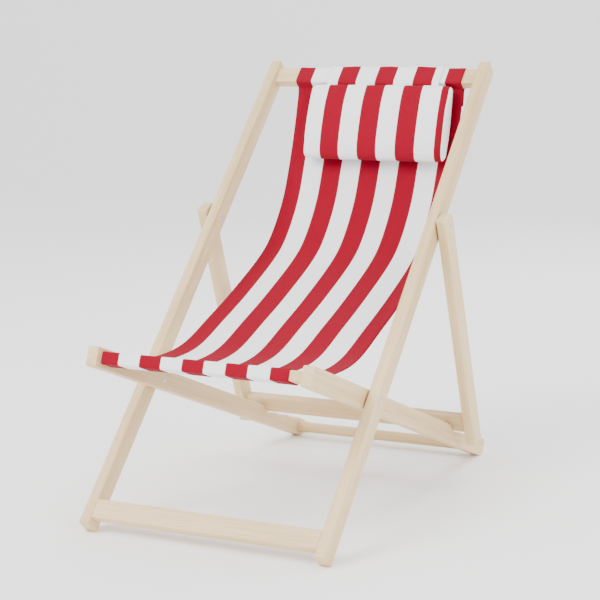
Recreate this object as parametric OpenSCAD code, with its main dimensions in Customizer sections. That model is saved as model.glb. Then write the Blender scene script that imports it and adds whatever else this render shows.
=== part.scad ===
// Folding deck chair: a long main frame, a seat frame pinned inside it, and a
// prop frame whose crossbar rests in notches cut in the seat rails.
// Millimetres, +Z up, +X to the side, +Y to the back.

/* [Timber] */
// Thickness of every rail, across the chair
rail_t = 22; // [20:1:24]
// Depth of every rail
rail_d = 40; // [38:1:42]
// Thickness of the flat bars between the rails
bar_t = 20; // [18:1:20]
// Width of the flat bars between the rails
bar_w = 40; // [38:1:40]

/* [Main frame] */
// Width over the main frame
main_w = 525; // [500:5:560]
// Length of a main rail
main_len = 1200; // [1190:5:1230]
// Middle of the foot board above the lower end of the main rails
foot_board_s = 35; // [30:1:40]
// Middle of the top bar above the lower end of the main rails
top_bar_s = 1166; // [1160:1:1170]

/* [Seat frame] */
// Seat rail in front of the pivot
seat_front = 262; // [255:1:264]
// Middle of the front bar in front of the pivot
front_bar_s = 232; // [225:1:234]
// Middle of the turned rear rail behind the pivot
rear_rail_s = 655; // [650:1:658]
// Radius of the turned rear rail
rear_rail_r = 12; // [10:0.5:13]

/* [Prop frame] */
// Prop leg above its pivot
prop_top = 22; // [20:1:24]
// Prop leg below its pivot
prop_len = 517; // [510:1:520]

/* [Fabric] */
// Width of the sling
sling_w = 400; // [380:5:404]
// Thickness of the sling's solid
sling_t = 3; // [2:0.5:3]
// Width of the head pillow
pillow_w = 336; // [300:2:340]
// Height of the head pillow
pillow_l = 168; // [160:2:170]
// Thickness of the head pillow
pillow_t = 39; // [34:1:39]
// Width of the flap that holds the pillow
flap_w = 268; // [240:2:280]

/* [Hardware] */
// Radius of a pivot bolt's shank
bolt_r = 3; // [2.5:0.5:3]
// Radius of a pivot bolt's dome head
head_r = 6; // [5:0.5:6.5]

/* [Hidden] */
$fn = 48;

// angles at rest, in degrees
main_angle = 45.7;
seat_angle = 21.1;
prop_angle = 70.5;
// distances along the main rail, from its lower end
seat_pivot_s = 345;
prop_pivot_s = 766;
seat_rear = 680;

side_gap = 3;
washer_t = 2.4;
washer_r = 9;
head_h = 2.2;
run = 0.05;
edge = 2.5;
end_round = 4;
tenon_r = 7;
tenon_l = 12;
foot_sink = 3;
depth_shift = -434.22;

main_out = main_w / 2;
main_in = main_out - rail_t;
seat_out = main_in - side_gap;
seat_in = seat_out - rail_t;
prop_in = main_out + side_gap;
prop_out = prop_in + rail_t;

// lower end of the main rail's middle line, and the two pivots, as [y, z]
main_o = [depth_shift, rail_d / 2 * cos(main_angle) - foot_sink];
function along(o, a, s, n = 0) = [o[0] + s * cos(a) - n * sin(a), o[1] + s * sin(a) + n * cos(a)];
seat_o = along(main_o, main_angle, seat_pivot_s);
prop_o = along(main_o, main_angle, prop_pivot_s);

// notches: the bar's lowest corner sits at notch_floor in the first one
notch_first = 477;
notch_pitch = 63;
notch_floor = 7.8;
prop_bar_top = 452;
prop_bar_w = 38;

// the sling's middle line between the bars, as [along the main rail, in front of it]
sling_fall = [
    [1126, -22.5], [1065, -57], [986, -97], [910, -128], [820, -141],
    [748, -130], [626, -86], [530, -45], [432, 0], [362, 58], [306, 128]
];
pillow_mid = [1059, -29];
pillow_tilt = 27;
pillow_x = 28;
flap_x = 27;
sling_x = 2;
flap_t = 2;
cloth_gap = 0.6;
flap_drop = 105;

// a point of the seat rail's side, [behind the pivot, above the middle line], on the main rail's side
function seat_to_main(p) = let (a = main_angle + seat_angle)
    [seat_pivot_s + p[0] * cos(a) + p[1] * sin(a), p[1] * cos(a) - p[0] * sin(a)];

module in_main() translate([0, main_o[0], main_o[1]]) rotate([main_angle, 0, 0]) children();
module in_seat() translate([0, seat_o[0], seat_o[1]]) rotate([-seat_angle, 0, 0]) children();
module in_prop() translate([0, prop_o[0], prop_o[1]]) rotate([-prop_angle, 0, 0]) children();

// a rectangle from [y0, z0] to [y1, z1] with round corners
module soft_rect(y0, z0, y1, z1, r) {
    translate([y0 + r, z0]) square([y1 - y0 - 2 * r, z1 - z0]);
    translate([y0, z0 + r]) square([y1 - y0, z1 - z0 - 2 * r]);
    for (y = [y0 + r, y1 - r], z = [z0 + r, z1 - r]) translate([y, z]) circle(r, $fn = 32);
}

// carries a [y, z] outline along X, from x0 to x1
module across(x0, x1) translate([x0, 0, 0]) rotate([90, 0, 90]) linear_extrude(x1 - x0) children();

// a rail from y0 to y1 with its long edges eased, cut to the side outline given as a child
module rail(x0, y0, y1) intersection() {
    across(x0, x0 + rail_t) children();
    translate([0, y1, 0]) rotate([90, 0, 0]) linear_extrude(y1 - y0)
        soft_rect(x0, -rail_d / 2, x0 + rail_t, rail_d / 2, edge);
}

module rod(x0, x1, r, y = 0, z = 0) translate([x0, y, z]) rotate([0, 90, 0]) cylinder(r = r, h = x1 - x0);

// everything below the floor
module floor_cut() translate([-500, -1000, -100]) cube([1000, 2000, 100]);

// a flat bar between rails at +-reach, centred on [y, z], with a round tenon at each end
module flat_bar(reach, y, w, z = 0) {
    intersection() {
        across(-reach, reach) soft_rect(y - w / 2, z - bar_t / 2, y + w / 2, z + bar_t / 2, edge);
        translate([-reach, y - w / 2, z - bar_t / 2]) cube([2 * reach, w, bar_t]);
    }
    for (side = [-1, 1]) rod(side > 0 ? reach : -reach - tenon_l, side > 0 ? reach + tenon_l : -reach, tenon_r, y, z);
}

// the blind hole for a tenon in the rail whose inner face is at reach, on one side
module tenon_hole(side, reach, y, z = 0, r = tenon_r)
    rod(side > 0 ? reach - 1 : -reach - tenon_l - 0.5, side > 0 ? reach + tenon_l + 0.5 : -reach + 1, r, y, z);

foot_board_n = rail_d / 2 - bar_t / 2 - 1;

module main_rail(side) difference() {
    in_main() difference() {
        rail(side > 0 ? main_in : -main_out, 0, main_len)
            soft_rect(0, -rail_d / 2, main_len, rail_d / 2, end_round);
        rod(-main_out - 1, main_out + 1, bolt_r + run, seat_pivot_s, 0);
        rod(-main_out - 1, main_out + 1, bolt_r + run, prop_pivot_s, 0);
        tenon_hole(side, main_in, top_bar_s);
        tenon_hole(side, main_in, foot_board_s, foot_board_n);
    }
    floor_cut();
}
module main_rail_left() color("burlywood") main_rail(-1);
module main_rail_right() color("burlywood") main_rail(1);
module top_bar() color("burlywood") in_main() flat_bar(main_in, top_bar_s, bar_w);
module foot_board() color("burlywood") in_main() flat_bar(main_in, foot_board_s, bar_w, foot_board_n);

// the seat rail's side outline: eased ends, three notches, and low crests between them
// that leave the crossbar's way clear as the chair folds
function notch_points(n) = let (t = notch_first + n * notch_pitch, f = notch_floor + 2 * n) [
    [t - 2, f + 2.5], [t, f], [t + 21, f]
];
function crest(t, n, r, a0, a1) = [for (i = [0:4]) let (a = a0 + (a1 - a0) * i / 4) [t + r * cos(a), n + r * sin(a)]];
module seat_outline() {
    top = rail_d / 2;
    low = [10.2, 15.2];
    polygon(concat(
        [[-seat_front + end_round, -top], [-seat_front, -top + end_round], [-seat_front, top - end_round]],
        [[-seat_front + end_round, top]],
        crest(notch_first - 25, top - 8, 8, 90, 40),
        notch_points(0),
        crest(notch_first + 31, low[0] - 5, 5, 140, 70),
        crest(notch_first + notch_pitch - 17, low[0] - 3, 5, 90, 30),
        notch_points(1),
        crest(notch_first + notch_pitch + 31, low[1] - 5, 5, 140, 70),
        crest(notch_first + 2 * notch_pitch - 17, low[1] - 4, 5, 90, 30),
        notch_points(2),
        crest(notch_first + 2 * notch_pitch + 36, top - 9, 9, 150, 90),
        [[seat_rear - end_round, top], [seat_rear, top - end_round], [seat_rear, -top + 8], [seat_rear - 8, -top]]
    ));
}

module seat_rail(side) difference() {
    in_seat() difference() {
        rail(side > 0 ? seat_in : -seat_out, -seat_front, seat_rear) seat_outline();
        rod(-main_out, main_out, bolt_r + run, 0, 0);
        tenon_hole(side, seat_in, -front_bar_s);
        tenon_hole(side, seat_in, rear_rail_s, 0, tenon_r);
    }
    floor_cut();
}
module seat_rail_left() color("burlywood") seat_rail(-1);
module seat_rail_right() color("burlywood") seat_rail(1);
module front_bar() color("burlywood") in_seat() flat_bar(seat_in, -front_bar_s, bar_w);

// a turned rail, thicker at its shoulders
module rear_rail() color("burlywood") in_seat() translate([0, rear_rail_s, 0]) rotate([0, 90, 0])
    rotate_extrude() polygon([
        [0, -seat_in - tenon_l], [tenon_r, -seat_in - tenon_l], [tenon_r, -seat_in],
        [rear_rail_r + 2, -seat_in], [rear_rail_r + 2, -seat_in + 16], [rear_rail_r, -seat_in + 26],
        [rear_rail_r, seat_in - 26], [rear_rail_r + 2, seat_in - 16], [rear_rail_r + 2, seat_in],
        [tenon_r, seat_in], [tenon_r, seat_in + tenon_l], [0, seat_in + tenon_l]
    ]);

prop_bar_mid = prop_bar_top + prop_bar_w / 2;
module prop_leg(side) in_prop() difference() {
    rail(side > 0 ? prop_in : -prop_out, -prop_top, prop_len)
        soft_rect(-prop_top, -rail_d / 2, prop_len, rail_d / 2, 6);
    rod(-prop_out - 1, prop_out + 1, bolt_r + run, 0, 0);
    tenon_hole(side, prop_in, prop_bar_mid);
}
module prop_leg_left() color("burlywood") prop_leg(-1);
module prop_leg_right() color("burlywood") prop_leg(1);
module prop_crossbar() color("burlywood") in_prop() flat_bar(prop_in, prop_bar_mid, prop_bar_w);

// a low dome standing on the plane x = 0, towards +X
module dome(r, h) rotate([0, 90, 0]) intersection() {
    translate([0, 0, h - (r * r + h * h) / (2 * h)]) sphere((r * r + h * h) / (2 * h), $fn = 96);
    cylinder(r = r, h = h);
}

// the bolt's head is outside and its nut is inside
module bolt(o, x_in, x_out, side) translate([0, o[0], o[1]]) mirror([side > 0 ? 0 : 1, 0, 0]) {
    rod(x_in - head_h / 2, x_out, bolt_r);
    translate([x_out, 0, 0]) dome(head_r, head_h);
}
module nut(o, x_in, side) translate([0, o[0], o[1]]) mirror([side > 0 ? 0 : 1, 0, 0]) difference() {
    translate([x_in, 0, 0]) mirror([1, 0, 0]) dome(head_r - 0.5, head_h);
    rod(x_in - head_h / 2, x_in + 1, bolt_r);
}
module washer(o, x_in, side) translate([0, o[0], o[1]]) mirror([side > 0 ? 0 : 1, 0, 0]) difference() {
    rod(x_in, x_in + washer_t, washer_r);
    rod(x_in - 1, x_in + washer_t + 1, bolt_r + 2 * run);
}
module seat_bolt_left() color("silver") bolt(seat_o, seat_in, main_out, -1);
module seat_bolt_right() color("silver") bolt(seat_o, seat_in, main_out, 1);
module prop_bolt_left() color("silver") bolt(prop_o, main_in, prop_out, -1);
module prop_bolt_right() color("silver") bolt(prop_o, main_in, prop_out, 1);
module seat_nut_left() color("silver") nut(seat_o, seat_in, -1);
module seat_nut_right() color("silver") nut(seat_o, seat_in, 1);
module prop_nut_left() color("silver") nut(prop_o, main_in, -1);
module prop_nut_right() color("silver") nut(prop_o, main_in, 1);
washer_gap = (side_gap - washer_t) / 2;
module seat_washer_left() color("silver") washer(seat_o, seat_out + washer_gap, -1);
module seat_washer_right() color("silver") washer(seat_o, seat_out + washer_gap, 1);
module prop_washer_left() color("silver") washer(prop_o, main_out + washer_gap, -1);
module prop_washer_right() color("silver") washer(prop_o, main_out + washer_gap, 1);

// a point of a smooth curve through four points, between the middle two
function smooth(a, b, c, d, t) = 0.5 * (2 * b + (c - a) * t + (2 * a - 5 * b + 4 * c - d) * t * t
    + (3 * b - a - 3 * c + d) * t * t * t);
function at(list, i) = list[max(0, min(len(list) - 1, i))];
function smooth_line(list, steps) = [for (i = [0:len(list) - 2], k = [0:steps - 1])
    smooth(at(list, i - 1), at(list, i), at(list, i + 1), at(list, i + 2), k / steps), at(list, len(list) - 1)];
function side_of(line, d) = [for (i = [0:len(line) - 1])
    let (v = at(line, i + 1) - at(line, i - 1), u = v / norm(v)) line[i] + d * [u[1], -u[0]]];
// a strip of thickness t along a line
module strip_along(line, t) {
    above = side_of(line, t / 2);
    below = side_of(line, -t / 2);
    polygon(concat(above, [for (i = [len(below) - 1:-1:0]) below[i]]));
}
// a quarter turn or less of radius r about c
function turn(c, r, a0, a1) = [for (i = [0:4]) let (a = a0 + (a1 - a0) * i / 4) c + r * [cos(a), sin(a)]];
hem_r = edge + cloth_gap + sling_t / 2;
hem_s = bar_w / 2 - edge;
hem_n = bar_t / 2 - edge;
// from behind the top bar, over it, down its front and under it
top_hem = concat(
    [[top_bar_s - 12, -hem_n - hem_r]],
    turn([top_bar_s + hem_s, -hem_n], hem_r, -90, 0),
    turn([top_bar_s + hem_s, hem_n], hem_r, 0, 90),
    turn([top_bar_s - hem_s, hem_n], hem_r, 90, 180),
    [[top_bar_s - hem_s - hem_r, -3]]
);
// over the front bar from behind, down its front and under it, beside the seat rail
front_hem = concat(
    [[42 - front_bar_s, 1.5], [27 - front_bar_s, 8.5]],
    turn([hem_s - front_bar_s, hem_n], hem_r, 60, 90),
    turn([-hem_s - front_bar_s, hem_n], hem_r, 90, 180),
    turn([-hem_s - front_bar_s, -hem_n], hem_r, 180, 270),
    [[12 - front_bar_s, -hem_n - hem_r]]
);

module sling() color("crimson") in_main() across(sling_x - sling_w / 2, sling_x + sling_w / 2)
    strip_along(concat(top_hem, smooth_line(sling_fall, 4), [for (p = front_hem) seat_to_main(p)]), sling_t);

module head_pillow() color("white") in_main() across(pillow_x - pillow_w / 2, pillow_x + pillow_w / 2)
    translate(pillow_mid) rotate(pillow_tilt)
    soft_rect(-pillow_l / 2, -pillow_t / 2, pillow_l / 2, pillow_t / 2, pillow_t / 2 - 0.5);

// over the top bar's hem, and straight down behind it
module pillow_flap() color("white") in_main() across(flap_x - flap_w / 2, flap_x + flap_w / 2) {
    n = bar_t / 2 + 2 * cloth_gap + sling_t + flap_t / 2;
    s = top_bar_s + bar_w / 2 + 2 * cloth_gap + sling_t + flap_t / 2;
    fall = flap_drop * [-sin(main_angle), -cos(main_angle)];
    strip_along([[top_bar_s - 26, n + 0.6], [s - 5, n], [s - 1.4, n - 1.4], [s, n - 5], [s, 5 - n],
        [s - 1.4, 1.4 - n], [s - 5, -n], [s - 5, -n] + 0.5 * fall, [s - 5, -n] + fall], flap_t);
}

main_rail_left();
main_rail_right();
top_bar();
foot_board();
seat_rail_left();
seat_rail_right();
front_bar();
rear_rail();
prop_leg_left();
prop_leg_right();
prop_crossbar();
seat_bolt_left();
seat_bolt_right();
prop_bolt_left();
prop_bolt_right();
seat_nut_left();
seat_nut_right();
prop_nut_left();
prop_nut_right();
seat_washer_left();
seat_washer_right();
prop_washer_left();
prop_washer_right();
sling();
head_pillow();
pillow_flap();
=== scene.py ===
"""Looks of a folding deck chair: timber and steel finishes, a striped sling, a head pillow and its flap."""

from math import cos, radians, sin

import bpy
import numpy as np
from mathutils import Matrix, Vector


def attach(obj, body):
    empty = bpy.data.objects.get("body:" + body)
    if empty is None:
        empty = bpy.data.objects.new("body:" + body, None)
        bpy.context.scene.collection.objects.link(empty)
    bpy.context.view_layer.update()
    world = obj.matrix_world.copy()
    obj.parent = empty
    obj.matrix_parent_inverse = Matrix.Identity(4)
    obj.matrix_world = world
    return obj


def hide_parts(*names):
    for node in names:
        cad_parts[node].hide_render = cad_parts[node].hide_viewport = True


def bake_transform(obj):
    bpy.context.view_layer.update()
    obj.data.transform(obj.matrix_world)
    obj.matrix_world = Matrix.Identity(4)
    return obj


bl_info = {
    "name": "Deck Chair Looks",
    "version": (1, 0, 0),
    "blender": (4, 2, 0),
    "location": "View3D > Sidebar > Deck Chair",
    "description": "Finishes and soft pieces for a folding deck chair",
    "category": "Object",
}

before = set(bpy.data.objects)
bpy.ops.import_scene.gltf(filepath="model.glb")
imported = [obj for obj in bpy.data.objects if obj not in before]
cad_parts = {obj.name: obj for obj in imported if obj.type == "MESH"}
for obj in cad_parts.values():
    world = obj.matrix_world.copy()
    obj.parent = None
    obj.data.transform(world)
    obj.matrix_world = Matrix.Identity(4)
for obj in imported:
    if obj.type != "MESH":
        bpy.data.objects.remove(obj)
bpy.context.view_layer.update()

# the CAD frame: the main rail's lower end as (y, z), the two frames' angles, and the pivot and bars on them
MAIN_ORIGIN = (-0.43422, 0.02 * cos(radians(45.7)) - 0.003)
MAIN_ANGLE = radians(45.7)
SEAT_ANGLE = radians(21.1)
SEAT_PIVOT_S = 0.345
TOP_BAR_S = 1.166
FRONT_BAR_T = -0.232
BAR_HALF = (0.02, 0.01)
BAR_EDGE = 0.0025

CREAM = (0.78, 0.59, 0.33, 1)
CREAM_DARK = (0.54, 0.35, 0.155, 1)
RED = (0.245, 0.0004, 0.014, 1)
WHITE = (0.86, 0.87, 0.89, 1)
FLECK = (0.42, 0.28, 0.14, 1)
WARM_PATCH = (0.84, 0.66, 0.40, 1)
ZINC_DARK = (0.50, 0.50, 0.51, 1)
ZINC_LIGHT = (0.70, 0.70, 0.69, 1)

# how far the sling's middle layer stands off a bar, and the same for the flap over it
SLING_GAP = 0.0016
FLAP_GAP = 0.0042
# the sling between the bars, as (along the main rail, in front of it)
SLING_FALL = [
    [1.126, -0.0225], [1.065, -0.057], [0.986, -0.097], [0.910, -0.128], [0.820, -0.141], [0.748, -0.130],
    [0.626, -0.086], [0.530, -0.045], [0.432, 0.0], [0.362, 0.058], [0.306, 0.128],
]
SLING_TAIL = [[1.118, -0.0345], [1.132, -0.0265], [1.1445, -0.0165]]
SLING_STRIPE = 0.0458
PILLOW_STRIPE = 0.045
# the pillow's cloth is white past this distance from its left end
PILLOW_WHITE_FROM = 0.3295

# the pillow's middle, as (along the main rail, in front of it), its lean from the rail,
# and the pillow's and flap's middles across
PILLOW_MIDDLE = (1.059, -0.0255)
PILLOW_TILT = radians(27)
PILLOW_X = 0.028
FLAP_X = 0.027

CAMERA_PLACE = (1.496, -3.019, 0.976)
CAMERA_FORWARD = (-0.4387, 0.8830, -0.1668)
CAMERA_RIGHT = (0.8963, 0.4434, -0.0099)
CAMERA_LENS = 99.6
WORLD_STRENGTH = 1.75
# each light's share of the key light's power, its width and its place
LIGHTS = {
    "Key": (1.0, 2.2, (-1.6, -3.0, 3.4)),
    "Fill": (0.45, 2.6, (3.4, -1.6, 2.2)),
    "Back": (0.5, 2.0, (0.5, 3.2, 3.2)),
}
LIGHT_TARGET = (0, 0, 0.45)


# ---------------------------------------------------------------- curves


def main_to_world(p):
    """Points (s along the main rail, n in front of it) as (y, z)."""
    s, n = p[:, 0], p[:, 1]
    y = MAIN_ORIGIN[0] + s * cos(MAIN_ANGLE) - n * sin(MAIN_ANGLE)
    z = MAIN_ORIGIN[1] + s * sin(MAIN_ANGLE) + n * cos(MAIN_ANGLE)
    return np.stack([y, z], 1)


def seat_to_world(p):
    """Points (t behind the seat pivot, n above the seat rail's middle line) as (y, z)."""
    pivot = main_to_world(np.array([[SEAT_PIVOT_S, 0.0]]))[0]
    t, n = p[:, 0], p[:, 1]
    y = pivot[0] + t * cos(SEAT_ANGLE) + n * sin(SEAT_ANGLE)
    z = pivot[1] - t * sin(SEAT_ANGLE) + n * cos(SEAT_ANGLE)
    return np.stack([y, z], 1)


def corners(middle, gap, order):
    """Arcs round a flat bar's corners at a gap from its faces, in the order given, as one run of points.

    Each arc's radius is the bar's own eased edge plus the gap. order lists (side along, side above,
    first angle, last angle), with angles in degrees.
    """
    radius = BAR_EDGE + gap
    runs = []
    for along, above, first, last in order:
        centre = np.array(middle) + np.array([along, above]) * (np.array(BAR_HALF) - BAR_EDGE)
        a = np.radians(np.linspace(first, last, 7))
        runs.append(centre + radius * np.stack([np.cos(a), np.sin(a)], 1))
    return np.concatenate(runs)


def smooth(points, steps):
    """A Catmull-Rom curve through the points: each stretch is a cubic, with half the step across as slopes."""
    p = np.concatenate([[2 * points[0] - points[1]], points, [2 * points[-1] - points[-2]]])
    a, b, c, d = (p[k : len(points) - 1 + k][:, None] for k in range(4))
    t = (np.arange(steps) / steps)[None, :, None]
    curve = 0.5 * (2 * b + (c - a) * t + (2 * a - 5 * b + 4 * c - d) * t**2 + (3 * b - a - 3 * c + d) * t**3)
    return np.concatenate([curve.reshape(-1, 2), points[-1:]])


def even(points, count):
    """The same line at count points spaced evenly along it, and its length."""
    step = np.linalg.norm(np.diff(points, axis=0), axis=1)
    at = np.concatenate([[0], np.cumsum(step)])
    want = np.linspace(0, at[-1], count)
    return np.stack([np.interp(want, at, points[:, k]) for k in range(2)], 1), at[-1]


def normals(line):
    """Unit normals of a line in its own plane, a quarter turn left of its direction."""
    d = np.gradient(line, axis=0)
    d /= np.linalg.norm(d, axis=1)[:, None]
    return np.stack([-d[:, 1], d[:, 0]], 1)


def step(x, low, high):
    """0 below low, 1 above high, and a smooth cubic between them."""
    t = np.clip((x - low) / (high - low), 0, 1)
    return t * t * (3 - 2 * t)


# ---------------------------------------------------------------- meshes


def put(name, verts, faces, uv):
    """A mesh object from whole arrays, smooth, with a UV map called Cloth that holds metres of cloth."""
    mesh = bpy.data.meshes.new(name)
    mesh.from_pydata(verts.tolist(), [], faces.tolist())
    mesh.polygons.foreach_set("use_smooth", np.ones(len(faces), bool))
    loops = np.empty(len(mesh.loops), np.int32)
    mesh.loops.foreach_get("vertex_index", loops)
    layer = mesh.uv_layers.new(name="Cloth")
    layer.data.foreach_set("uv", uv[loops].astype(np.float32).ravel())
    mesh.validate()
    mesh.update()
    obj = bpy.data.objects.new(name, mesh)
    bpy.context.scene.collection.objects.link(obj)
    return obj


def shell(name, middle, normal, half, uv):
    """A closed thin cloth: its two faces stand half a thickness off the middle grid along its normals.

    middle and normal are (rows, columns, 3), half is (rows, columns). A strip round the rim joins the faces.
    """
    rows, columns = half.shape
    top = middle + normal * half[..., None]
    low = middle - normal * half[..., None]
    verts = np.concatenate([top.reshape(-1, 3), low.reshape(-1, 3)])
    index = np.arange(rows * columns).reshape(rows, columns)
    quads = np.stack([index[:-1, :-1], index[:-1, 1:], index[1:, 1:], index[1:, :-1]], -1).reshape(-1, 4)
    rim = np.concatenate([index[0, :-1], index[:-1, -1], index[-1, :0:-1], index[:0:-1, 0]])
    after = np.roll(rim, -1)
    shift = rows * columns
    sides = np.stack([after, rim, rim + shift, after + shift], 1)
    faces = np.concatenate([quads, quads[:, ::-1] + shift, sides])
    flat = uv.reshape(-1, 2)
    obj = put(name, verts, faces, np.concatenate([flat, flat]))
    outward(obj)
    return obj


def cloth(name, line, x, lift, half, uv):
    """A closed thin cloth: the (y, z) line carried across x, moved off it by lift along its normal."""
    side = normals(line)
    y = line[:, :1] + side[:, :1] * lift
    z = line[:, 1:] + side[:, 1:] * lift
    nx = np.zeros_like(x)
    normal = np.stack([nx, nx + side[:, :1], nx + side[:, 1:]], -1)
    return shell(name, np.stack([x, y, z], -1), normal, half * np.ones_like(x), uv)


def outward(obj):
    """Turns the closed mesh's faces outward, by the sign of its volume."""
    mesh = obj.data
    co = np.empty(len(mesh.vertices) * 3)
    mesh.vertices.foreach_get("co", co)
    co = co.reshape(-1, 3)
    mesh.calc_loop_triangles()
    tri = np.empty(len(mesh.loop_triangles) * 3, np.int32)
    mesh.loop_triangles.foreach_get("vertices", tri)
    a, b, c = (co[tri.reshape(-1, 3)[:, k]] for k in range(3))
    if np.einsum("ij,ij->", a, np.cross(b, c)) < 0:
        mesh.flip_normals()
    mesh.update()


# ---------------------------------------------------------------- node groups and materials


class Nodes:
    """Short calls for building a node tree."""

    def __init__(self, tree):
        self.tree = tree

    def add(self, kind, inputs=None, **settings):
        node = self.tree.nodes.new(kind)
        for key, value in settings.items():
            setattr(node, key, value)
        for key, value in (inputs or {}).items():
            self.feed(node.inputs[key], value)
        return node

    def feed(self, socket, value):
        if isinstance(value, bpy.types.NodeSocket):
            self.tree.links.new(value, socket)
        else:
            socket.default_value = value

    def math(self, operation, a, b=0.0, c=0.0):
        node = self.add("ShaderNodeMath", {0: a, 1: b, 2: c}, operation=operation)
        return node.outputs[0]

    def noise(self, vector, scale, detail=3.0, roughness=0.55):
        inputs = {"Vector": vector, "Scale": scale, "Detail": detail, "Roughness": roughness}
        return self.add("ShaderNodeTexNoise", inputs).outputs["Fac"]

    def stretch(self, vector, scale):
        return self.add("ShaderNodeMapping", {"Vector": vector, "Scale": scale}).outputs[0]

    def ramp(self, value, low, high, to_low=0.0, to_high=1.0):
        inputs = {0: value, 1: low, 2: high, 3: to_low, 4: to_high}
        return self.add("ShaderNodeMapRange", inputs, interpolation_type="SMOOTHSTEP").outputs[0]

    def mix(self, factor, a, b, blend="MIX"):
        node = self.add("ShaderNodeMix", data_type="RGBA", blend_type=blend)
        self.feed(node.inputs[0], factor)
        self.feed(node.inputs[6], a)
        self.feed(node.inputs[7], b)
        return node.outputs[2]


def group(name, inputs, outputs):
    """A new shader node group with these named sockets, as (tree, builder, input node, output node)."""
    tree = bpy.data.node_groups.new(name, "ShaderNodeTree")
    for label, kind, default in inputs:
        socket = tree.interface.new_socket(label, in_out="INPUT", socket_type=kind)
        if default is not None:
            socket.default_value = default
    for label, kind in outputs:
        tree.interface.new_socket(label, in_out="OUTPUT", socket_type=kind)
    n = Nodes(tree)
    return tree, n, n.add("NodeGroupInput"), n.add("NodeGroupOutput")


def beech_group():
    """Pale beech: long soft bands, fine streaks and short dark flecks along the Y of the given vector."""
    name = "Beech Grain"
    if name in bpy.data.node_groups:
        return bpy.data.node_groups[name]
    tree, n, given, out = group(
        name,
        [
            ("Vector", "NodeSocketVector", None),
            ("Light", "NodeSocketColor", CREAM),
            ("Dark", "NodeSocketColor", CREAM_DARK),
        ],
        [("Color", "NodeSocketColor"), ("Roughness", "NodeSocketFloat"), ("Height", "NodeSocketFloat")],
    )
    vector = given.outputs["Vector"]
    bands = n.noise(n.stretch(vector, (22, 1.1, 22)), 1.0, 3.0)
    streaks = n.noise(n.stretch(vector, (420, 7, 420)), 1.0, 4.0, 0.65)
    flecks = n.ramp(n.noise(n.stretch(vector, (900, 95, 900)), 1.0, 1.0), 0.66, 0.76)
    patch = n.noise(vector, 5.0, 2.0)
    fine = n.math("MULTIPLY", n.ramp(streaks, 0.4, 0.75), 0.5)
    tone = n.math("MULTIPLY_ADD", n.ramp(bands, 0.36, 0.68), 0.5, fine)
    color = n.mix(tone, given.outputs["Light"], given.outputs["Dark"])
    color = n.mix(n.math("MULTIPLY", flecks, 0.30), color, FLECK)
    color = n.mix(n.ramp(patch, 0.35, 0.7, 0.0, 0.14), color, WARM_PATCH)
    n.feed(out.inputs["Color"], color)
    n.feed(out.inputs["Roughness"], n.ramp(streaks, 0.3, 0.7, 0.44, 0.60))
    raised = n.math("MULTIPLY", streaks, 0.6)
    n.feed(out.inputs["Height"], n.math("SUBTRACT", raised, n.math("MULTIPLY", flecks, 0.8)))
    return tree


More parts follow.
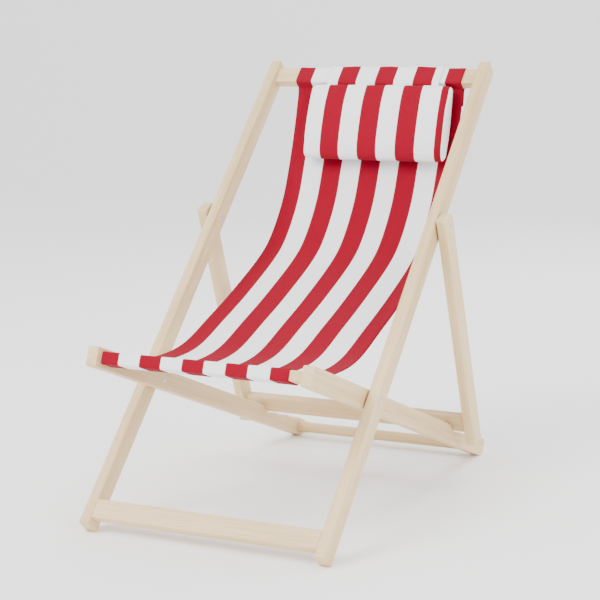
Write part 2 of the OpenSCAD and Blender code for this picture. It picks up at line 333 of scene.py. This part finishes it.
def canvas_group():
    """Plain-weave canvas with lengthwise stripes: U and V are metres of cloth.

    Red where the fraction of (U + Offset) over two stripes is above a half and U is below Cut. Each
    thread is a sine ridge; over and under alternate like a chessboard, and slubs and soiling vary the tone.
    The chessboard also darkens the colour a little in the dips where threads pass under: painted shade.
    """
    name = "Striped Canvas"
    if name in bpy.data.node_groups:
        return bpy.data.node_groups[name]
    tree, n, given, out = group(
        name,
        [
            ("UV", "NodeSocketVector", None),
            ("Offset", "NodeSocketFloat", 0.0),
            ("Pitch", "NodeSocketFloat", SLING_STRIPE),
            ("Cut", "NodeSocketFloat", 10.0),
            ("Red", "NodeSocketColor", RED),
            ("White", "NodeSocketColor", WHITE),
        ],
        [("Color", "NodeSocketColor"), ("Roughness", "NodeSocketFloat"), ("Height", "NodeSocketFloat")],
    )
    parts = n.add("ShaderNodeSeparateXYZ", {0: given.outputs["UV"]})
    u, v = parts.outputs[0], parts.outputs[1]
    wander = n.noise(n.stretch(given.outputs["UV"], (300, 900, 1)), 1.0, 1.0)
    u_edge = n.math("ADD", u, n.math("MULTIPLY_ADD", wander, 0.0009, -0.00045))
    period = n.math("MULTIPLY", given.outputs["Pitch"], 2.0)
    turn = n.math("FRACT", n.math("DIVIDE", n.math("ADD", u_edge, given.outputs["Offset"]), period))
    away = n.math("ABSOLUTE", n.math("SUBTRACT", turn, 0.75))
    before_cut = n.ramp(n.math("SUBTRACT", u, given.outputs["Cut"]), 0.0004, -0.0004)
    red = n.math("MULTIPLY", n.ramp(away, 0.256, 0.244), before_cut)
    thread = 5500.0
    warp = n.math("SINE", n.math("MULTIPLY", u, thread))
    weft = n.math("SINE", n.math("MULTIPLY", v, thread))
    weave = n.math("MULTIPLY", warp, weft)
    slub = n.noise(n.stretch(given.outputs["UV"], (900, 60, 1)), 1.0, 3.0, 0.7)
    cross = n.noise(n.stretch(given.outputs["UV"], (60, 900, 1)), 1.0, 3.0, 0.7)
    soil = n.noise(given.outputs["UV"], 9.0, 3.0)
    color = n.mix(red, given.outputs["White"], given.outputs["Red"])
    yarn_tone_and_weave_shade = n.math("MULTIPLY_ADD", n.math("ADD", slub, cross), 0.22, 0.78)
    # painted shade: the weave's chessboard darkens the tone by up to 0.07 in the dips where threads pass under
    yarn_tone_and_weave_shade = n.math("MULTIPLY_ADD", weave, 0.035, yarn_tone_and_weave_shade)
    yarn_tone_and_weave_shade = n.math("MULTIPLY_ADD", soil, 0.07, n.math("SUBTRACT", yarn_tone_and_weave_shade, 0.035))
    grey = n.add("ShaderNodeCombineColor", {0: yarn_tone_and_weave_shade, 1: yarn_tone_and_weave_shade, 2: yarn_tone_and_weave_shade}).outputs[0]
    color = n.mix(1.0, color, grey, "MULTIPLY")
    n.feed(out.inputs["Color"], color)
    n.feed(out.inputs["Roughness"], n.ramp(slub, 0.3, 0.7, 0.78, 0.92))
    threads = n.math("MULTIPLY", weave, 0.5)
    n.feed(out.inputs["Height"], n.math("MULTIPLY_ADD", n.math("ADD", slub, cross), 0.8, threads))
    return tree


def steel_group():
    """Zinc plated steel: faint blotches, fine scratches and a roughness that follows them."""
    name = "Zinc Plate"
    if name in bpy.data.node_groups:
        return bpy.data.node_groups[name]
    tree, n, given, out = group(
        name,
        [("Vector", "NodeSocketVector", None)],
        [("Color", "NodeSocketColor"), ("Roughness", "NodeSocketFloat"), ("Height", "NodeSocketFloat")],
    )
    vector = given.outputs["Vector"]
    blotch = n.noise(vector, 260.0, 3.0)
    scratch = n.noise(n.stretch(vector, (3000, 150, 3000)), 1.0, 2.0)
    n.feed(out.inputs["Color"], n.mix(n.ramp(blotch, 0.3, 0.7), ZINC_DARK, ZINC_LIGHT))
    n.feed(out.inputs["Roughness"], n.ramp(blotch, 0.3, 0.7, 0.26, 0.42))
    n.feed(out.inputs["Height"], scratch)
    return tree


def material(name, tree, vector, values, bump, distance, fixed):
    """A material whose shader takes colour, roughness and bump from one group, and the fixed values itself."""
    mat = bpy.data.materials.new(name)
    mat.use_nodes = True
    n = Nodes(mat.node_tree)
    shader = next(x for x in mat.node_tree.nodes if x.type == "BSDF_PRINCIPLED")
    made = n.add("ShaderNodeGroup", node_tree=tree)
    n.feed(made.inputs[0], vector(n))
    for key, value in values.items():
        made.inputs[key].default_value = value
    n.feed(shader.inputs["Base Color"], made.outputs["Color"])
    n.feed(shader.inputs["Roughness"], made.outputs["Roughness"])
    height = {"Height": made.outputs["Height"], "Strength": bump, "Distance": distance}
    relief = n.add("ShaderNodeBump", height)
    n.feed(shader.inputs["Normal"], relief.outputs[0])
    for key, value in fixed.items():
        shader.inputs[key].default_value = value
    return mat


def beech(name, turn, colours):
    """Beech whose grain runs along Y once the coordinates are turned by turn, in degrees about X, Y and Z."""

    def vector(n):
        coords = n.add("ShaderNodeTexCoord").outputs["Object"]
        rotation = tuple(radians(a) for a in turn)
        return n.add("ShaderNodeMapping", {"Vector": coords, "Rotation": rotation}).outputs[0]

    tones = {"Light": colours.timber, "Dark": colours.grain}
    fixed = {"Specular IOR Level": 0.4, "Coat Weight": 0.08, "Coat Roughness": 0.35}
    return material(name, beech_group(), vector, tones, 0.18, 0.0006, fixed)


def canvas(name, colours, offset, cut=10.0, pitch=SLING_STRIPE):
    """Striped canvas on the piece's own metres of cloth."""

    def vector(n):
        return n.add("ShaderNodeUVMap", uv_map="Cloth").outputs[0]

    values = {"Offset": offset, "Pitch": pitch, "Cut": cut, "Red": colours.stripe, "White": colours.ground}
    fixed = {"Sheen Weight": 0.02, "Sheen Roughness": 0.5, "Specular IOR Level": 0.1}
    return material(name, canvas_group(), vector, values, 0.35, 0.0005, fixed)


def dress(nodes, mat):
    """Gives CAD nodes one material."""
    for node in nodes:
        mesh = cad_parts[node].data
        mesh.materials.clear()
        mesh.materials.append(mat)


# ---------------------------------------------------------------- settings


def colour(name, description, default):
    """A colour property."""
    return bpy.props.FloatVectorProperty(
        name=name, description=description, default=default, size=4, min=0, max=1, subtype="COLOR"
    )


def length(name, description, default):
    """A length property, in metres."""
    return bpy.props.FloatProperty(
        name=name, description=description, default=default, unit="LENGTH", subtype="DISTANCE"
    )


class DeckColourSettings(bpy.types.PropertyGroup):
    """Colours of the canvas and the timber."""

    stripe: colour("Stripe", "Colour of the dyed stripes", RED)
    ground: colour("Ground", "Colour of the plain stripes", WHITE)
    timber: colour("Timber", "Lighter tone of the timber", CREAM)
    grain: colour("Grain", "Darker tone of the timber's grain", CREAM_DARK)


class DeckSlingSettings(bpy.types.PropertyGroup):
    """Sizes of the sling."""

    width: length("Width", "Width of the sling", 0.396)
    cloth: length("Cloth", "Thickness of the canvas", 0.0012)
    ripple: length("Ripple", "Height of the soft ripples", 0.0016)


class DeckPillowSettings(bpy.types.PropertyGroup):
    """Sizes of the head pillow and its flap."""

    width: length("Width", "Width of the pillow", 0.336)
    height: length("Height", "Height of the pillow", 0.168)
    depth: length("Depth", "Thickness of the pillow", 0.044)
    flap_width: length("Flap width", "Width of the flap", 0.268)


class DeckStageSettings(bpy.types.PropertyGroup):
    """Light and floor."""

    key_power: bpy.props.FloatProperty(
        name="Key", description="Power of the key light", default=190.0, unit="POWER"
    )
    floor_tone: bpy.props.FloatProperty(
        name="Floor", description="Lightness of the floor", default=0.95, subtype="FACTOR"
    )


# ---------------------------------------------------------------- pieces


class DeckTimber(bpy.types.Operator):
    """Gives each rail, leg and bar a beech grain that runs along it."""

    bl_idname = "deckchair.timber"
    bl_label = "Timber"

    def execute(self, context):
        rails = {
            "Beech main rails": (("main_rail_left", "main_rail_right"), (-45.7, 0, 0)),
            "Beech seat rails": (("seat_rail_left", "seat_rail_right"), (21.1, 0, 0)),
            "Beech legs": (("prop_leg_left", "prop_leg_right"), (70.5, 0, 0)),
            "Beech bars": (("top_bar", "foot_board", "front_bar", "prop_crossbar", "rear_rail"), (0, 0, 90)),
        }
        for name, (nodes, turn) in rails.items():
            dress(nodes, beech(name, turn, context.scene.deck_colours))
        return {"FINISHED"}


class DeckFittings(bpy.types.Operator):
    """Gives the bolts, nuts and washers a zinc plated finish."""

    bl_idname = "deckchair.fittings"
    bl_label = "Fittings"

    def execute(self, context):
        def vector(n):
            return n.add("ShaderNodeTexCoord").outputs["Object"]

        mat = material("Zinc plated steel", steel_group(), vector, {}, 0.1, 0.0002, {"Metallic": 1.0})
        dress([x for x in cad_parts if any(k in x for k in ("_bolt_", "_nut_", "_washer_"))], mat)
        return {"FINISHED"}


def sling_line():
    """The sling's path as (y, z): a tail behind the top bar, round it, down, and round the front bar."""
    top = corners((TOP_BAR_S, 0), SLING_GAP, [(1, -1, -90, 0), (1, 1, 0, 90), (-1, 1, 90, 180)])
    under = np.array([[TOP_BAR_S - 0.0216, -0.001], [TOP_BAR_S - 0.0232, -0.0095]])
    front = (FRONT_BAR_T, 0)
    arrive = np.array([[FRONT_BAR_T + 0.042, 0.0015], [FRONT_BAR_T + 0.0255, 0.0085]])
    hem = corners(front, SLING_GAP, [(1, 1, 60, 90), (-1, 1, 90, 180), (-1, -1, 180, 270), (1, -1, 270, 350)])
    end = np.array([FRONT_BAR_T, 0]) + [[0.0235, -0.001], [0.030, 0.0020], [0.043, -0.0030]]
    upper = smooth(main_to_world(np.concatenate([under, SLING_FALL])), 14)
    arrive = seat_to_world(arrive)
    # one stretch of the fall leads the curve onto the front bar
    slope = smooth(np.concatenate([upper[-15:-14], upper[-1:], arrive]), 14)[14:]
    loop = main_to_world(np.concatenate([SLING_TAIL, top]))
    close = seat_to_world(np.concatenate([hem, end]))
    return np.concatenate([loop, upper[:-1], slope, close])


class DeckSling(bpy.types.Operator):
    """Builds the striped canvas sling, looped round the top bar and the seat's front bar."""

    bl_idname = "deckchair.sling"
    bl_label = "Sling"

    def execute(self, context):
        s = context.scene.deck_sling
        line, length = even(sling_line(), 520)
        along = np.linspace(0, length, len(line))[:, None]
        across = np.linspace(-s.width / 2, s.width / 2, 81)[None, :]
        free = step(along, 0.16, 0.30) * (1 - step(along, length - 0.30, length - 0.14))
        # the free cloth cups forward at its edges, and carries long soft ripples that fade at the bars
        edge = (2 * across / s.width) ** 4
        lift = -0.004 * edge * free
        lift = lift + s.ripple * free * (
            0.5 * np.sin(31 * across + 2.1 * along + 0.6) + 0.5 * np.sin(57 * across - 5.3 * along + 2.0)
        )
        # short puckers just below the top bar
        pucker = step(along, 0.145, 0.165) * (1 - step(along, 0.165, 0.25))
        lift = lift + 0.0009 * pucker * np.sin(190 * across + 3 * np.sin(23 * across))
        # the sling hangs a little to one side of each bar
        drift = 0.012 - 0.024 * step(along, 0.1, length - 0.1)
        narrow = 1 - 0.012 * free * np.sin(np.pi * np.clip((along - 0.15) / (length - 0.3), 0, 1))
        x = across * narrow + drift + 0.0012 * np.sin(9 * along) * edge * free
        hem = step(np.abs(across), s.width / 2 - 0.0125, s.width / 2 - 0.0105)
        half = 0.5 * s.cloth + 0.0004 * hem
        uv = np.stack(np.broadcast_arrays(across, along), -1)
        obj = cloth("Sling", line, x, lift, half, uv)
        obj.data.materials.append(canvas("Sling canvas", context.scene.deck_colours, 1.5 * SLING_STRIPE))
        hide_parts("sling")
        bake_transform(obj)
        return {"FINISHED"}


class DeckPillow(bpy.types.Operator):
    """Builds the filled head pillow that hangs in front of the sling."""

    bl_idname = "deckchair.pillow"
    bl_label = "Head pillow"

    def execute(self, context):
        s = context.scene.deck_pillow
        rings, spokes = 121, 128
        # across runs from -1 to 1, bunched towards the ends so that their turn is smooth
        across = np.sin(np.linspace(-np.pi / 2, np.pi / 2, rings))[:, None]
        angle = np.linspace(0, 2 * np.pi, spokes, endpoint=False)[None, :]
        # a flattened superellipse section, fuller below the middle, drawn in at each end to a crowned cap
        grow = (1 - np.abs(across) ** 26) ** (1 / 3)
        tall = np.sign(np.cos(angle)) * np.abs(np.cos(angle)) ** 0.72
        deep = np.sign(np.sin(angle)) * np.abs(np.sin(angle)) ** 0.80
        crown = 0.80 + 0.20 * (1 - across**2) ** 0.5
        belly = 1 - 0.16 * tall
        up = 0.5 * s.height * tall * (0.84 + 0.16 * grow)
        out = 0.5 * s.depth * deep * grow * crown * belly
        # soft folds from the end seams, and shallow hollows along the top seam
        fold = 0.0011 * np.sin(7 * angle + 4 * across) * np.abs(across) ** 6 * grow
        sag = -0.0016 * np.exp(-(((tall - 0.8) / 0.25) ** 2)) * (1 + np.sin(26 * across + 1)) * (deep > 0)
        out = out + fold + sag
        x = PILLOW_X + 0.5 * s.width * across * (1 - 0.012 * np.abs(tall) ** 3 * grow) + 0 * angle
        main = np.array(PILLOW_MIDDLE)
        s_at = main[0] + up * cos(PILLOW_TILT) - out * sin(PILLOW_TILT)
        n_at = main[1] + up * sin(PILLOW_TILT) + out * cos(PILLOW_TILT)
        yz = main_to_world(np.stack([s_at.ravel(), n_at.ravel()], 1))
        verts = np.column_stack([x.ravel(), yz])
        index = np.arange(rings * spokes).reshape(rings, spokes)
        following = np.roll(index, -1, 1)
        quads = np.stack([index[:-1], following[:-1], following[1:], index[1:]], -1).reshape(-1, 4)
        # each end ring closes on one middle point
        caps = np.array([verts[index[0]].mean(0), verts[index[-1]].mean(0)])
        first = len(verts)
        verts = np.concatenate([verts, caps])
        poles = [
            np.stack([following[0], index[0], np.full(spokes, first)], 1),
            np.stack([index[-1], following[-1], np.full(spokes, first + 1)], 1),
        ]
        faces = quads.tolist() + poles[0].tolist() + poles[1].tolist()
        u = verts[:, 0] - (PILLOW_X - s.width / 2)
        v = np.append((0.17 * up / s.height + 0.02 * out / s.depth).ravel(), [0, 0])
        obj = put("Head_pillow", verts, np.array(faces, dtype=object), np.stack([u, v], 1))
        outward(obj)
        dyes = context.scene.deck_colours
        mat = canvas("Pillow canvas", dyes, 0.0, cut=PILLOW_WHITE_FROM, pitch=PILLOW_STRIPE)
        obj.data.materials.append(mat)
        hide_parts("head_pillow")
        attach(obj, "pillow")
        return {"FINISHED"}


class DeckFlap(bpy.types.Operator):
    """Builds the flap from the pillow's top seam over the top bar and down behind it."""

    bl_idname = "deckchair.flap"
    bl_label = "Pillow flap"

    def execute(self, context):
        s = context.scene.deck_pillow
        over = corners((TOP_BAR_S, 0), FLAP_GAP, [(1, 1, 90, 0), (1, -1, 0, -60)])
        drop = over[-1] + np.array([[-0.028, -0.026], [-0.052, -0.049], [-0.071, -0.0685]])
        near = np.array([[1.128, -0.002], [1.1345, 0.0065], [1.1415, 0.0125], [1.152, 0.0145]])
        path = np.concatenate([smooth(np.concatenate([near, over[:1]]), 10)[:-1], over, drop])
        line, length = even(main_to_world(path), 150)
        along = np.linspace(0, length, len(line))[:, None]
        across = np.linspace(-s.flap_width / 2, s.flap_width / 2, 61)[None, :]
        loose = step(along, 0.09, length)
        lift = 0.0035 * loose * np.sin(24 * across + 0.8) + 0.0006 * np.sin(85 * across + 20 * along)
        x = FLAP_X + across + 0.003 * loose * np.sin(30 * along)
        hem = step(np.abs(across), s.flap_width / 2 - 0.009, s.flap_width / 2 - 0.0075)
        half = 0.0006 + 0.0003 * np.maximum(hem, step(along, length - 0.012, length - 0.010))
        uv = np.stack(np.broadcast_arrays(across + s.flap_width / 2, along), -1)
        obj = cloth("Pillow_flap", line, x, lift, half, uv)
        mat = canvas("Flap canvas", context.scene.deck_colours, 0.019, pitch=PILLOW_STRIPE)
        obj.data.materials.append(mat)
        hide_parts("pillow_flap")
        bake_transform(obj)
        return {"FINISHED"}


def area_light(name, power, size, place, target):
    """A square soft light at place, facing target."""
    light = bpy.data.lights.new(name, "AREA")
    light.energy = power
    light.shape = "SQUARE"
    light.size = size
    obj = bpy.data.objects.new(name, light)
    bpy.context.scene.collection.objects.link(obj)
    obj.location = place
    obj.rotation_euler = (Vector(target) - Vector(place)).to_track_quat("-Z", "Y").to_euler()


class DeckStage(bpy.types.Operator):
    """Builds the pale floor, the soft lights and the camera."""

    bl_idname = "deckchair.stage"
    bl_label = "Stage"

    def execute(self, context):
        s = context.scene.deck_stage
        reach, turn = 12.0, 2.5
        # a floor that bends up into a wall behind, by a quarter circle
        a = np.radians(np.linspace(0, 90, 24))
        profile = np.concatenate(
            [[[-reach, 0]], np.stack([5 + turn * np.sin(a), turn - turn * np.cos(a)], 1), [[5 + turn, reach]]]
        )
        sides = np.array([-reach, reach])
        across = np.broadcast_to(sides, (len(profile), 2))
        grid = np.stack([across, np.repeat(profile[:, :1], 2, 1), np.repeat(profile[:, 1:], 2, 1)], -1)
        index = np.arange(len(profile) * 2).reshape(-1, 2)
        faces = np.stack([index[:-1, 0], index[:-1, 1], index[1:, 1], index[1:, 0]], 1)
        floor = put("Floor", grid.reshape(-1, 3), faces, grid.reshape(-1, 3)[:, :2])
        mat = bpy.data.materials.new("Pale floor")
        mat.use_nodes = True
        shader = next(x for x in mat.node_tree.nodes if x.type == "BSDF_PRINCIPLED")
        shader.inputs["Base Color"].default_value = (s.floor_tone, s.floor_tone, s.floor_tone, 1)
        shader.inputs["Roughness"].default_value = 0.9
        floor.data.materials.append(mat)
        world = bpy.data.worlds.new("Studio")
        world.use_nodes = True
        back = next(x for x in world.node_tree.nodes if x.type == "BACKGROUND")
        back.inputs[0].default_value = (1, 1, 1, 1)
        back.inputs[1].default_value = WORLD_STRENGTH
        context.scene.world = world
        for name, (share, size, place) in LIGHTS.items():
            area_light(name, share * s.key_power, size, place, LIGHT_TARGET)
        camera = bpy.data.objects.new("Camera", bpy.data.cameras.new("Camera"))
        context.scene.collection.objects.link(camera)
        camera.data.lens = CAMERA_LENS
        camera.data.sensor_width = 36
        forward = Vector(CAMERA_FORWARD).normalized()
        right = Vector(CAMERA_RIGHT)
        right = (right - right.dot(forward) * forward).normalized()
        up = right.cross(forward)
        turned = Matrix((right, up, -forward)).transposed().to_4x4()
        camera.matrix_world = Matrix.Translation(CAMERA_PLACE) @ turned
        context.scene.camera = camera
        return {"FINISHED"}


class VIEW3D_PT_deck_chair(bpy.types.Panel):
    """Lists the chair's pieces."""

    bl_idname = "VIEW3D_PT_deck_chair"
    bl_label = "Deck Chair"
    bl_space_type = "VIEW_3D"
    bl_region_type = "UI"
    bl_category = "Deck Chair"

    def draw(self, context):
        layout = self.layout
        for kind in OPERATORS:
            layout.operator(kind.bl_idname)
        for name in SETTINGS:
            group_of = getattr(context.scene, name)
            for key in group_of.bl_rna.properties.keys():
                if key not in ("rna_type", "name"):
                    layout.prop(group_of, key)


OPERATORS = (DeckTimber, DeckFittings, DeckSling, DeckPillow, DeckFlap, DeckStage)
SETTINGS = {
    "deck_colours": DeckColourSettings,
    "deck_sling": DeckSlingSettings,
    "deck_pillow": DeckPillowSettings,
    "deck_stage": DeckStageSettings,
}


def register():
    for kind in (*SETTINGS.values(), *OPERATORS, VIEW3D_PT_deck_chair):
        bpy.utils.register_class(kind)
    for name, kind in SETTINGS.items():
        setattr(bpy.types.Scene, name, bpy.props.PointerProperty(type=kind))


def unregister():
    for name in SETTINGS:
        delattr(bpy.types.Scene, name)
    for kind in reversed((*SETTINGS.values(), *OPERATORS, VIEW3D_PT_deck_chair)):
        bpy.utils.unregister_class(kind)


def main():
    register()
    for kind in OPERATORS:
        area, name = kind.bl_idname.split(".")
        getattr(getattr(bpy.ops, area), name)()
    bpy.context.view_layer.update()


if __name__ == "__main__":
    main()
